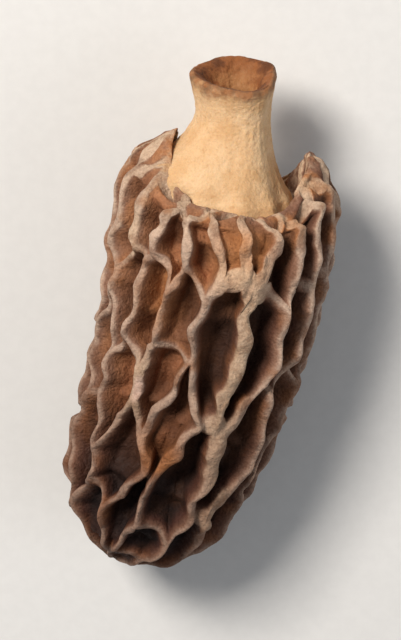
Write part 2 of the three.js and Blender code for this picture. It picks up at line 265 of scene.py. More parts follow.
@dataclass(frozen=True)
class Envelope:
    """The cap's skin over its ridge crests, turned from an outline of [radius, along], about reach_step apart.

    Its rim is a saddle: it stands up on both sides of the stem, more on the -X side, and there it leans in.
    """

    body: Body
    outline: Pairs = (
        (4.4, 0.0), (4.85, 2.05), (7.05, 1.0), (7.65, -2.3), (7.5, -5.8), (7.35, -9.1),
        (7.15, -12.1), (6.9, -15.1), (6.6, -18.1), (5.9, -21.2), (3.9, -24.1), (0.0, -25.6),
    )
    reach_step: float = 3.0
    mean_radius: float = 7.2
    end_fade: float = 2.5
    saddle: float = 1.75
    saddle_mean: float = 0.33
    saddle_lean: float = 0.3
    saddle_peaks: float = 0.3
    saddle_reaches: Numbers = (0, 2.5, 2.5, 10)
    lean_in: Lobe = Lobe(1.4, radians(-95), 5)
    lean_in_reaches: Numbers = (1, 3, 3, 6)

    @property
    def reach_total(self) -> float:
        """The reach at the tip."""
        return self.reach_step * (len(self.outline) - 1)

    def freedom(self, reach: Array) -> Array:
        """How free the net is to wander and sag: 0 at both ends, 1 between them."""
        return plateau(reach, 0, self.end_fade, self.reach_total - self.end_fade, self.reach_total)

    def point(self, x: Array, y: Array, depth: Array) -> Array:
        """Gives the points at places of the net, sunk square to the skin.

        The saddle lifts them by saddle times (saddle_mean - cos(2 turn) - saddle_lean sin(turn) + saddle_peaks
        (cos(4 turn) - 1)). The last term narrows its two peaks.

        Args:
            x, y, depth: places in the net, and how far they are sunk.

        Returns:
            The points.
        """
        ends = np.array(self.outline)
        mirrored = ends[-2] * [-1, 1]
        place, slope = smooth_curve(np.vstack([2 * ends[0] - ends[1], ends, mirrored]), y / self.reach_step)
        slope = slope / np.linalg.norm(slope, axis=-1, keepdims=True)
        turn = x / self.mean_radius
        peaks = self.saddle_peaks * (np.cos(4 * turn) - 1)
        sides = self.saddle_mean - np.cos(2 * turn) - self.saddle_lean * np.sin(turn) + peaks
        lift = self.saddle * plateau(y, *self.saddle_reaches) * sides
        inwards = plateau(y, *self.lean_in_reaches) * self.lean_in.at(turn)
        radius = np.maximum(0, place[..., 0] + depth * slope[..., 1] - inwards)
        return self.body.place(radius, place[..., 1] - depth * slope[..., 0] + lift, turn)


@dataclass(frozen=True)
class RidgeNet:
    """The flat net of ridges: a pit is all that is nearer to its centre than to another, with y counted stretch times.

    The upper side's pits are [turn in degrees, reach], and the rings of pits [count, reach]. The spreads say how far
    drawn numbers move the pits under it and in the rings.
    """

    skin: Envelope
    upper_pits: Pairs = (
        (-84, 7.2), (-62, 7.8), (-44, 6.0), (-28, 7.9), (-14, 7.7), (1, 5.2), (17, 5.2), (34, 8.0), (50, 7.2),
        (66, 7.0), (84, 8.4), (-80, 12.6), (-56, 12.4), (-36, 12.8), (-18, 12.2), (4.5, 13.6), (31, 13.8),
        (51, 13.0), (68, 12.2), (85, 14.6), (-68, 16.4), (-46, 17.9), (-21, 17.0), (60, 17.6), (-90, 20.2),
        (-9, 19.2), (43, 19.9), (74, 21.0), (-66, 23.8), (-31, 22.9), (5, 24.3), (56, 25.8), (-14, 27.6),
        (-84, 26.8),
    )
    columns: int = 8
    column_turns: Numbers = (104, 256)
    column_reaches: Numbers = (6.6, 26)
    column_pitch: float = 5.4
    stagger: float = 0.45
    start_spread: float = 1.5
    turn_spread: float = 9.0
    pitch_least: float = 0.75
    pitch_spread: float = 0.55
    rings: Pairs = ((15, 2.7), (8, 28.9), (4, 31.4))
    ring_turn_spread: float = 0.3
    ring_reach_spread: float = 0.8
    stretch: float = 0.42
    longer_from: float = 25.0
    longer: float = 0.125
    neighbours: int = 39
    sideways: tuple[Wave, ...] = (Wave(0.24, 0.9, 3), Wave(0.12, 2.1, -6, 1.3))
    lengthways: Wave = Wave(0.3, 0.8, 5)
    seed: int = 7

    def draws(self) -> Iterator[float]:
        """Yields numbers from 0 to 1 by a linear congruence, the same on each run."""
        state = self.seed
        while True:
            state = (state * 1664525 + 1013904223) % 4294967296
            yield state / 4294967296

    def centres(self) -> Array:
        """Places the pits' centres: on the upper side, in columns under it, and in rings at both ends.

        Returns:
            Rows of x and y.
        """
        draw = self.draws()
        found = list(self.upper_pits)
        first, last = self.column_turns
        start, stop = self.column_reaches
        for k in range(self.columns):
            turn = first + (last - first) * k / (self.columns - 1)
            reach = start + k % 2 * self.stagger * self.column_pitch + self.start_spread * next(draw)
            while reach < stop:
                found.append((turn + self.turn_spread * (next(draw) - 0.5), reach))
                reach += self.column_pitch * (self.pitch_least + self.pitch_spread * next(draw))
        for count, reach in self.rings:
            for k in range(count):
                turn = 360 * (k + self.ring_turn_spread * (next(draw) - 0.5)) / count
                found.append((turn, reach + self.ring_reach_spread * (next(draw) - 0.5)))
        return np.array(found) * [radians(1) * self.skin.mean_radius, 1]

    def laid_out(self, places: Array) -> Array:
        """Lengthens the layout near the tip, by longer times the square of what is beyond longer_from."""
        beyond = np.maximum(0, places[..., 1] - self.longer_from)
        return np.stack([places[..., 0], places[..., 1] + self.longer * beyond**2], -1)

    def taken_back(self, places: Array) -> Array:
        """Takes places of the layout back, by solving the formula of laid_out."""
        x, y = np.moveaxis(places, -1, 0)
        beyond = np.maximum(0, y - self.longer_from)
        solved = (np.sqrt(1 + 4 * self.longer * beyond) - 1) / (2 * self.longer)
        return np.stack([x, np.minimum(y, self.longer_from) + solved], -1)

    def outline(self, centre: Array, centres: Array) -> Array:
        """Cuts a wide box down to the pit round a centre, one neighbour's half-plane at a time.

        Args:
            centre, centres: the pit's own centre, and all of them.

        Returns:
            The pit's corners, anticlockwise.
        """
        around = 2 * pi * self.skin.mean_radius
        centre, centres = self.laid_out(centre), self.laid_out(centres)
        left, right = centre[0] - around / 4, centre[0] + around / 4
        end = self.laid_out(np.array([0, self.skin.reach_total]))[1]
        corners = np.array([[left, 0], [right, 0], [right, end], [left, end]])
        weights = np.array([1, self.stretch**2])
        laps = np.vstack([centres + [lap, 0] for lap in (-around, 0, around)])
        away = ((laps - centre) ** 2 @ weights) ** 0.5
        for other in laps[np.argsort(away)][1 : self.neighbours + 1]:
            side = (corners - (centre + other) / 2) @ (weights * (other - centre))
            if (side <= 0).all():
                continue
            after, side_after = np.roll(corners, -1, axis=0), np.roll(side, -1)
            crossed = (side < 0) != (side_after < 0)
            share = np.divide(side, side - side_after, out=np.zeros_like(side), where=crossed)[:, None]
            both = np.stack([corners, corners + (after - corners) * share], axis=1).reshape(-1, 2)
            corners = both[np.stack([side <= 0, crossed], axis=1).ravel()]
        return self.taken_back(corners)

    def wander(self, x: Array, y: Array) -> tuple[Array, Array]:
        """Shifts places of the net by smooth waves that match round the cap."""
        turn = x / self.skin.mean_radius
        free = self.skin.freedom(y)
        return x + free * sum(wave.at(y, turn) for wave in self.sideways), y + free * self.lengthways.at(y, turn)


@dataclass(frozen=True)
class Patch:
    """A patch of the net, as a bell round a place, its turn in degrees. More is what it adds or takes in its middle."""

    turn: float
    reach: float
    half_width: float
    half_height: float
    more: float = 1.0


@dataclass(frozen=True)
class Cap:
    """The pitted cap: a crest line round every pit, and rings of points from it down the wall to the floor.

    The ridges are thicker at the web, corner, arch and knob, and the pits shallower in the slots and on the ramp. The
    slots and the streak are orange, the ridge in the orange patch is orange partly as a painted highlight, and the
    lip has the stem's colour.
    """

    net: RidgeNet
    crest_half: float = 0.2
    swells: tuple[Wave, Wave] = (Wave(0.35, 1.9, 5), Wave(1, 0.7, -3, 1))
    shoulder_more: float = 0.7
    shoulder_reaches: Numbers = (7, 12)
    main_turns: Numbers = (radians(18), radians(40))
    main_moves: Numbers = (18, 25)
    main_reaches: Numbers = (8, 11, 25, 28)
    main_width: float = 0.2
    main_more: float = 2.0
    web: Patch = Patch(10, 9.3, 2.2, 1.2, 1.7)
    corner: Patch = Patch(-31, 17.8, 0.9, 2.0, 1.1)
    arch: Patch = Patch(-5, 21.2, 2.6, 1.8, 1.3)
    knob: Patch = Patch(-58, 8.6, 1.3, 1.8, 1.0)
    ragged: float = 0.14
    ragged_wave: Wave = Wave(1, 2.3, 4)
    bridge_sag: float = 1.3
    held_at_tip: float = 0.8
    held_reaches: Numbers = (24, 30)
    crest_step: float = 0.24

    pit_depth: float = 2.7
    shoulder_depth: float = 0.12
    deepening_reaches: Numbers = (3.5, 9)
    tip_loss: float = 0.72
    tip_loss_from: float = 25.0
    slots: Patch = Patch(9, 7.8, 2.0, 2.4, 0.75)
    ramp: Patch = Patch(-9, 20.7, 1.5, 1.2, 0.4)
    rounding: float = 0.05
    wall_drop: float = 0.81
    floor_drop: float = 0.14
    septum: float = 0.25
    septum_half: float = 0.5
    septum_step: float = 2.4
    septum_sway: float = 0.5
    septum_offset: float = 0.1
    spine: float = 0.8
    widest: float = 0.38
    widest_more: float = 0.12
    wall_foot: float = 0.38
    wall_least: float = 0.06
    floor_end: float = 0.92
    crest_rings: int = 3
    wall_rings: int = 5
    floor_rings: int = 6

    lean: tuple[Bumps, Bumps] = (Bumps(0.2, 2.1, 11), Bumps(0.2, 2.3, 12))
    crimp: Bumps = Bumps(0.11, 0.55, 15)
    crimp_loss: float = 0.6
    nibble: Bumps = Bumps(0.16, 0.9, 13, layers=3)
    crumple: Bumps = Bumps(0.3, 1.1, 14, layers=3)

    rib_paleness: float = 0.6
    # The painted shade down the pits and on low bridges.
    flank_shade: float = 0.12
    full_shade_depth: float = 1.3
    bridge_shade: float = 0.16
    bridge_shade_from: float = 0.35
    tip_shade_loss: float = 0.35
    tip_shade_reaches: Numbers = (26, 31)
    brown_reaches: Numbers = (15, 27)
    brown_least: float = 0.2
    brown_turn: float = -1.3
    brown_cosines: Numbers = (-0.1, 0.7)
    tone_step: float = 12.9
    tone_spread: float = 0.45
    # The orange patch's ridge: orange partly as a painted highlight, less on its walls.
    orange_highlight: Patch = Patch(-8, 21.8, 2.0, 1.5, 1.3)
    orange_highlight_loss: float = 0.75
    streak: Patch = Patch(-34, 11.9, 1.2, 1.9, 0.9)
    lip: Patch = Patch(-66, 2.0, 3.6, 3.0)

    def share(self, patch: Patch, x: Array, y: Array) -> Array:
        """How much a place belongs to a patch: a bell across it times a bell along it."""
        sideways = (x - radians(patch.turn) * self.net.skin.mean_radius) / patch.half_width
        return bell(sideways) * bell((y - patch.reach) / patch.half_height)

    def main_share(self, x: Array, y: Array) -> Array:
        """How much a place belongs to the main rib: a bell across its course."""
        low, high = self.main_turns
        course = low + (high - low) * rise(y, *self.main_moves)
        return bell((x / self.net.skin.mean_radius - course) / self.main_width) * plateau(y, *self.main_reaches)

    def half_thickness(self, x: Array, y: Array) -> Array:
        """Half the thickness of a ridge: the least, times 1 plus what a place adds, times 1 plus two crossing waves.

        Args:
            x, y: places in the net.

        Returns:
            A length for each place.
        """
        on_shoulder = self.shoulder_more * (1 - rise(y, *self.shoulder_reaches))
        patches = [patch.more * self.share(patch, x, y) for patch in (self.web, self.corner, self.arch, self.knob)]
        more = np.max([self.main_more * self.main_share(x, y), on_shoulder, *patches], axis=0)
        swell, crossing = (wave.at(y, x / self.net.skin.mean_radius) for wave in self.swells)
        return self.crest_half * (1 + more) * (1 + swell * crossing)

    def depth_at(self, x: Array, y: Array) -> Array:
        """How deep the pits are: less on the shoulder, in two patches and at the tip.

        Args:
            x, y: places in the net.

        Returns:
            The pit depth times a share for each of these.
        """
        shallow = self.shoulder_depth + (1 - self.shoulder_depth) * rise(y, *self.deepening_reaches)
        for patch in (self.slots, self.ramp):
            shallow = shallow * (1 - patch.more * self.share(patch, x, y))
        at_tip = rise(y, self.tip_loss_from, self.net.skin.reach_total)
        return self.pit_depth * shallow * (1 - self.tip_loss * at_tip)

    def paleness(self, x: Array, y: Array) -> Array:
        """How pale a ridge is: wholly at the corner, less in the main rib, the web and the knob."""
        rib = np.max([self.main_share(x, y), self.share(self.web, x, y), self.share(self.knob, x, y)], axis=0)
        return np.maximum(self.rib_paleness * rib, self.share(self.corner, x, y))

    def warmth(self, x: Array, y: Array) -> Array:
        """How brown the pits' floors are: near the stem, less on the +X side; partly their own brown, partly painted
        light.
        """
        sideways = rise(np.cos(x / self.net.skin.mean_radius - self.brown_turn), *self.brown_cosines)
        return (1 - rise(y, *self.brown_reaches)) * (self.brown_least + (1 - self.brown_least) * sideways)

    def amber(self, x: Array, y: Array, wall: Array) -> Array:
        """How orange a place is: in the slots, the streak, and the ridge of the orange patch, partly a painted
        highlight.
        """
        on_ridge = self.orange_highlight.more * self.share(self.orange_highlight, x, y) * (1 - self.orange_highlight_loss * wall)
        in_streak = self.streak.more * self.share(self.streak, x, y)
        return np.minimum(1, np.max([self.share(self.slots, x, y), on_ridge, in_streak], axis=0))

    def crest_line(self, corners: Array) -> Array:
        """Samples the ridge lines round a pit.

        A crest lies ragged times (1 + a wave) deep. A bridge across the cap sags by bridge_sag times 4 t (1 - t), with
        t the share of the way along it, but is held up at the web, the arch, the main rib and the tip.

        Args:
            corners: the pit's corners.

        Returns:
            Rows of x, y and depth.
        """
        rows = []
        for p, q in zip(corners, np.roll(corners, -1, axis=0)):
            length = dist(p, q)
            across = abs(q[0] - p[0]) / max(length, TINY)
            pieces = max(1, round(length / self.crest_step))
            t = np.arange(pieces) / pieces
            x, y = self.net.wander(p[0] + (q[0] - p[0]) * t, p[1] + (q[1] - p[1]) * t)
            ragged = self.ragged * (1 + self.ragged_wave.at(y, x / self.net.skin.mean_radius))
            held = [self.share(self.web, x, y), self.share(self.arch, x, y), self.main_share(x, y)]
            held.append(self.held_at_tip * rise(y, *self.held_reaches))
            sag = self.bridge_sag * across**2 * 4 * t * (1 - t) * (1 - np.max(held, axis=0))
            rows.append(np.stack([x, y, self.net.skin.freedom(y) * (ragged + sag)], -1))
        return np.vstack(rows)

    def ring_shares(self, to_foot: Array, half: Array, widest: Array) -> Array:
        """Spaces the rings over the rounded crest, down the wall and over the floor.

        Args:
            to_foot, half: the way from each crest point to the pit's middle, and half its ridge's thickness.
            widest: the most that the crest takes of the way to the middle.

        Returns:
            Shares of the way, from 0 to 1, with a row for each crest point.
        """
        crest = np.minimum(widest, half / np.maximum(to_foot, TINY))[:, None]
        foot = np.maximum(self.wall_foot, crest + self.wall_least)
        spans = (0, crest, self.crest_rings), (crest, foot, self.wall_rings), (foot, self.floor_end, self.floor_rings)
        rings = [low + (high - low) * np.linspace(0, 1, count + 1)[1:] for low, high, count in spans]
        return np.hstack([0 * crest, *rings, np.ones_like(crest)])

    def pit(self, corners: Array, number: int) -> tuple[Array, Array]:
        """Works out one pit's rings, as flat places with depths.

        A point goes inwards along (1 - f)(crest point) + f ((1 - f)(nearest point of the middle line) + f (centre)),
        with f from 0 to 1. Its depth is a rounded crest, a wall that falls as t squared times (3 - 2 t), and a floor
        that sinks to the centre, less a low partition. Its shade is painted shade that darkens the colour: it goes
        from 0 on the crest to 1 on the floor, less in a shallow pit, and a low bridge gets painted shade too.

        Args:
            corners: the pit's corners.
            number: its number, which sets its partition and its tone.

        Returns:
            Rows of x, y, depth, wall, shade and tone for the points, and the triangles.
        """
        line = self.crest_line(corners)
        x, y, crest = line.T
        centre = line[:, :2].mean(axis=0)
        half_width, half_length = np.abs(line[:, :2] - centre).max(axis=0)
        spine = max(0.0, half_length - half_width) * self.spine
        foot = np.stack([np.full_like(x, centre[0]), centre[1] + np.clip(y - centre[1], -spine, spine)], -1)
        widest = self.widest + self.widest_more * self.share(self.web, x, y)
        f = self.ring_shares(np.linalg.norm(foot - line[:, :2], axis=1), self.half_thickness(x, y), widest)
        inwards = f[..., None]
        flat = (1 - inwards) * line[:, None, :2] + inwards * ((1 - inwards) * foot[:, None] + inwards * centre)
        flat_x, flat_y = np.moveaxis(flat, -1, 0)
        edge, wall_end = f[:, [self.crest_rings]], f[:, [self.crest_rings + self.wall_rings]]
        over = np.minimum(1, f / edge) ** 2
        wall = rise((f - edge) / (wall_end - edge), 0, 1)
        full = self.depth_at(flat_x, flat_y)
        sunk = full * (self.rounding * over + self.wall_drop * wall + self.floor_drop * rise(f, self.wall_foot, 1))
        sway = self.septum_sway * sin(number * self.septum_step) + self.septum_offset
        across = centre[1] + half_length * sway
        partition = self.septum * full * wall * bell((flat_y - across) / self.septum_half)
        low = np.clip(crest - self.bridge_shade_from, 0, 1)[:, None] * (1 - wall)
        seen = np.where(f < 1, full, full - partition) / self.full_shade_depth
        shade = (self.flank_shade * over + (1 - self.flank_shade) * wall) * np.minimum(1, seen)
        shade += self.bridge_shade * low
        tone = np.full_like(f, sin(self.tone_step * number))
        depth = crest[:, None] * (1 - wall) + sunk - partition
        return np.stack([part.ravel() for part in (flat_x, flat_y, depth, wall, shade, tone)]), lattice(f.shape)

    def surface(self) -> Skin:
        """Works out the whole cap.

        Returns:
            Its corners, triangles, and the numbers that the material reads.
        """
        skin = self.net.skin
        centres = self.net.centres()
        pits = [self.pit(self.net.outline(centre, centres), number) for number, centre in enumerate(centres)]
        starts = np.cumsum([0] + [rows.shape[1] for rows, _ in pits])
        triangles = np.vstack([joined + start for (_, joined), start in zip(pits, starts)])
        x, y, depth, wall, shade, tone = np.hstack([rows for rows, _ in pits])
        on_skin = skin.point(x, y, np.zeros_like(x))
        free, high = skin.freedom(y), 1 - wall
        x = x + free * high * self.lean[0].at(on_skin)
        y = y + free * high * self.lean[1].at(on_skin)
        x = x + free * (1 - self.crimp_loss * wall) * self.crimp.at(on_skin)
        nibbled = high * (self.nibble.height + self.nibble.at(on_skin))
        folds = wall * self.crumple.at(skin.point(x, y, depth))
        depth = np.clip(depth + free * (nibbled + folds), 0, None)
        points = skin.point(x, y, depth)
        # The joint's round face is a fan from its middle to the open edges at reach 0.
        edges = np.vstack([triangles[:, pair] for pair in ([0, 1], [1, 2], [2, 0])])
        rim = edges[(y[edges] < TINY).all(axis=1)]
        rim = rim[np.linalg.norm(points[rim[:, 0]] - points[rim[:, 1]], axis=1) > TINY]
        fan = np.column_stack([rim[:, 1], rim[:, 0], np.full(len(rim), len(points))])
        points = np.vstack([points, points[np.unique(rim)].mean(axis=0)])
        with_middle = {
            # The pit number is painted shade: it darkens the colour down into the pits, less at the tip.
            "pit": (shade * (1 - self.tip_shade_loss * rise(y, *self.tip_shade_reaches)), 0),
            "reach": (y, 0),
            "rib": (self.paleness(x, y), 0),
            "warm": (np.clip(self.warmth(x, y) * (1 + self.tone_spread * tone), 0, 1), 1),
            "amber": (self.amber(x, y, wall), 0),
            "lip": (self.share(self.lip, x, y), 1),
        }
        numbers = {key: np.append(*pair) for key, pair in with_middle.items()}
        return weld(points, np.vstack([triangles, fan]), numbers)


@dataclass(frozen=True)
class Stem:
    """The hollow stem, turned from an outline of [radius, along], up the outside from the foot and down the hollow.

    Shallow folds run up its side, and finer ones its foot, which spreads on one side. A seam fills the gap to the rim.
    """

    body: Body
    outline: Pairs = (
        (0.0, 0.2), (4.0, 0.2), (4.05, 0.6), (3.55, 1.3), (3.0, 2.3), (2.58, 3.6), (2.4, 5.0), (2.42, 6.4),
        (2.68, 7.7), (2.76, 8.2), (2.55, 8.5), (2.1, 8.35), (1.75, 7.9), (1.35, 7.0), (1.15, 5.6), (1.05, 3.9),
        (0.8, 2.6), (0.0, 2.2),
    )
    sides: int = 48
    folds: tuple[Wave, ...] = (Wave(0.035, 0, 3, 0.5), Wave(0.02, -0.3, 5))
    roots: Wave = Wave(0.035, 0, 11)
    roots_end: float = 3.0
    cut_slant: float = 0.45
    cut_from: float = 6.0
    cut_end: float = 8.5
    cut_radius: float = 2.7
    outside: Numbers = (1.3, 2.3)
    spread: Lobe = Lobe(1.0, radians(-80), 2)
    spread_alongs: Numbers = (0.1, 2.2, 2.2, 6)

    foot_sunk: float = 0.3
    fine_spread: float = 0.6
    seam: Lobe = Lobe(0.75, radians(-48), 1.6)
    seam_alongs: Numbers = (1.6, 4.4)
    dent: Lobe = Lobe(0.3, 0.5, 3)
    dent_from: float = 6.5
    fine_samples: int = 2000
    fine_sides: int = 300
    fine_step: float = 0.11
    relief_radii: Numbers = (0, 0.6)
    crumple_radii: Numbers = (0.2, 1)
    crease_length: float = 5.0
    crease: Bumps = Bumps(0.07, 0.8, 21, layers=3)
    furrow: Bumps = Bumps(0.042, 0.5, 22)
    meal: Bumps = Bumps(0.04, 0.45, 23, layers=3)
    fine_meal: Bumps = Bumps(0.02, 0.16, 24)
    crumple: Bumps = Bumps(0.22, 0.9, 25, layers=3)
    torn: Bumps = Bumps(0.16, 1.1, 26, layers=3)
    torn_alongs: Numbers = (7.2, 8.4)

    def point(self, radius: Array, along: Array, turn: Array) -> Array:
        """Gives the skin's points for places of the outline.

        The radius is times 1 plus three sine waves round the stem, the last only at its foot, plus the spread. The
        along is less a slant, which grows towards the cut end and is largest on the upper side.

        Args:
            radius, along, turn: places in the mushroom's own terms.

        Returns:
            The points.
        """
        folds = sum(wave.at(along, turn) for wave in self.folds)
        roots = (1 - rise(along, 0, self.roots_end)) * self.roots.at(along, turn)
        at_cut = self.cut_slant * rise(along, self.cut_from, self.cut_end)
        slant = at_cut * np.cos(turn) * radius / self.cut_radius
        spread = self.spread_at(radius, along, turn)
        return self.body.place(radius * (1 + folds + roots) + spread, along - slant, turn)

    def spread_at(self, radius: Array, along: Array, turn: Array) -> Array:
        """How far the foot spreads up the higher shoulder: a lobe, only on the outside."""
        return self.spread.at(turn) * plateau(along, *self.spread_alongs) * rise(radius, *self.outside)

    def fine_outline(self) -> Array:
        """Samples the outline evenly on a smooth curve, with the foot sunk into the cap.

        Returns:
            Rows of radius and along.
        """
        ends = np.array(self.outline)
        ends[:2, 1] = -self.foot_sunk
        padded = np.vstack([2 * ends[0] - ends[1], ends, ends[-1] * 2 - ends[-2]])
        dense, _ = smooth_curve(padded, np.linspace(0, len(ends) - 1, self.fine_samples))
        dense[:, 0] = np.maximum(0, dense[:, 0])
        gone = np.concatenate([[0], np.cumsum(np.linalg.norm(np.diff(dense, axis=0), axis=1))])
        at = np.linspace(0, gone[-1], round(gone[-1] / self.fine_step))
        return np.stack([np.interp(at, gone, dense[:, k]) for k in (0, 1)], -1)

    def surface(self) -> Skin:
        """Works out the whole stem, a grid of turns by outline places, closed at both poles.

        Returns:
            Its corners, triangles, and the numbers that the material reads.
        """
        outline = self.fine_outline()
        turn = 2 * pi * np.arange(self.fine_sides)[:, None] / self.fine_sides
        radius, along, turn = np.broadcast_arrays(*outline.T, turn)
        inner = (np.arange(len(outline)) > along[0].argmax()) + 0.0 * radius
        plain = self.point(radius, along, turn)
        ring = self.cut_radius * np.sin(turn), self.cut_radius * np.cos(turn)
        stretched = np.stack([*ring, along / self.crease_length], -1)
        relief = self.crease.at(stretched) - np.abs(self.furrow.at(stretched)) + self.meal.at(plain)
        relief = (relief + self.fine_meal.at(plain)) * rise(radius, *self.relief_radii) * (1 - 2 * inner)
        crumpled = inner * self.crumple.at(plain) * rise(radius, *self.crumple_radii)
        dent = self.dent.at(turn) * rise(along, self.dent_from, self.cut_end)
        torn = self.torn.at(np.stack([*ring, 0 * turn], -1)) * rise(along, *self.torn_alongs)
        closing = self.fine_spread * self.spread_at(radius, along, turn)
        closing += self.seam.at(turn) * (1 - rise(along, *self.seam_alongs)) * rise(radius, *self.outside)
        points = self.point(np.maximum(0, radius + relief + crumpled + closing), along - dent + torn, turn)
        points[:, [0, -1]] = points[:, [0, -1]].mean(axis=0)
        numbers = {"inner": inner.ravel(), "along": along.ravel()}
        return weld(points.reshape(-1, 3), lattice(radius.shape)[:, ::-1], numbers)


@dataclass(frozen=True)
class Feel:
    """How a skin takes the light: roughness, shine, tooth, and how the light spreads under it."""

    rough: Numbers
    shine: float
    tooth: float
    tooth_mm: float
    spread: float
    spread_mm: float
    spread_by_colour: Colour


class Nodes:
    """Builds a material's nodes, each made, set and joined in one call."""

    def __init__(self, name: str) -> None:
        """Starts a material of this name with an empty tree."""
        self.material = bpy.data.materials.new(name)
        self.material.use_nodes = True
        self.tree = self.material.node_tree
        self.tree.nodes.clear()

    def add(self, kind: str, inputs: dict | None = None, **settings) -> bpy.types.Node:
        """Adds a node.

        Args:
            kind: its type, without "ShaderNode".
            inputs: a value or a socket for each input, by name or number.
            **settings: its own settings.

        Returns:
            The new node.
        """
        node = self.tree.nodes.new("ShaderNode" + kind)
        for key, value in settings.items():
            setattr(node, key, value)
        for key, value in (inputs or {}).items():
            if isinstance(value, Socket):
                self.tree.links.new(value, node.inputs[key])
            else:
                node.inputs[key].default_value = value
        return node

    def maths(self, operation: str, first: object, second: object, clamp: bool = False) -> Socket:
        """Works out one operation on two numbers or sockets."""
        return self.add("Math", {0: first, 1: second}, operation=operation, use_clamp=clamp).outputs[0]

    def plus(self, first: object, second: object, clamp: bool = False) -> Socket:
        """Adds two numbers or sockets up."""
        return self.maths("ADD", first, second, clamp)

    def times(self, first: object, second: object, clamp: bool = False) -> Socket:
        """Multiplies two numbers or sockets."""
        return self.maths("MULTIPLY", first, second, clamp)

    def span(self, value: object, low: float, high: float, to_low: float = 0.0, to_high: float = 1.0) -> Socket:
        """Maps low to high smoothly onto to_low to to_high."""
        ends = {"Value": value, "From Min": low, "From Max": high, "To Min": to_low, "To Max": to_high}
        return self.add("MapRange", ends, interpolation_type="SMOOTHSTEP").outputs["Result"]

    def mix(self, share: object, first: object, second: object, blend: str = "MIX") -> Socket:
        """Mixes two colours by a share, or blends the second into the first."""
        inputs = {0: share, 6: first, 7: second}
        filled = {key: (*value, 1) if isinstance(value, tuple) else value for key, value in inputs.items()}
        return self.add("Mix", filled, data_type="RGBA", blend_type=blend).outputs[2]

    def noise(self, size: float, detail: float = 4.0, roughness: float = 0.55) -> Socket:
        """Gives noise with bumps of about this many millimetres."""
        where = self.add("TexCoord").outputs["Object"]
        inputs = {"Vector": where, "Scale": 1 / (size * MM), "Detail": detail, "Roughness": roughness}
        return self.add("TexNoise", inputs).outputs["Fac"]

    def number(self, name: str) -> Socket:
        """Reads one of the mesh's own numbers."""
        return self.add("Attribute", attribute_name=name, attribute_type="GEOMETRY").outputs["Fac"]

    def ramp(self, share: object, *stops: tuple[float, Colour]) -> Socket:
        """Reads a ramp of colours.

        Args:
            share: where it is read, from 0 to 1.
            *stops: a place and a colour each, in order.

        Returns:
            The colour there.
        """
        node = self.add("ValToRGB", {0: share})
        elements = node.color_ramp.elements
        while len(elements) < len(stops):
            elements.new(1.0)
        for element, (place, colour) in zip(elements, stops):
            element.position, element.color = place, (*colour, 1)
        return node.outputs["Color"]

    def skin(self, colour: Socket, fine: Socket, height: Socket, feel: Feel) -> bpy.types.Material:
        """Ends a skin's material.

        Args:
            colour, fine, height: its colour, the noise that its roughness follows, and its tooth.
            feel: how it takes the light.

        Returns:
            The material.
        """
        bump = self.add("Bump", {"Strength": feel.tooth, "Distance": feel.tooth_mm * MM, "Height": height})
        inputs = {
            "Base Color": colour,
            "Roughness": self.span(fine, 0.3, 0.7, *feel.rough),
            "Normal": bump.outputs["Normal"],
            "Subsurface Weight": feel.spread,
            "Subsurface Radius": feel.spread_by_colour,
            "Subsurface Scale": feel.spread_mm * MM,
            "Specular IOR Level": feel.shine,
        }
        return self.finish(inputs)

    def finish(self, inputs: dict) -> bpy.types.Material:
        """Joins a shader with these inputs to the output."""
        self.add("OutputMaterial", {"Surface": self.add("BsdfPrincipled", inputs).outputs[0]})
        return self.material


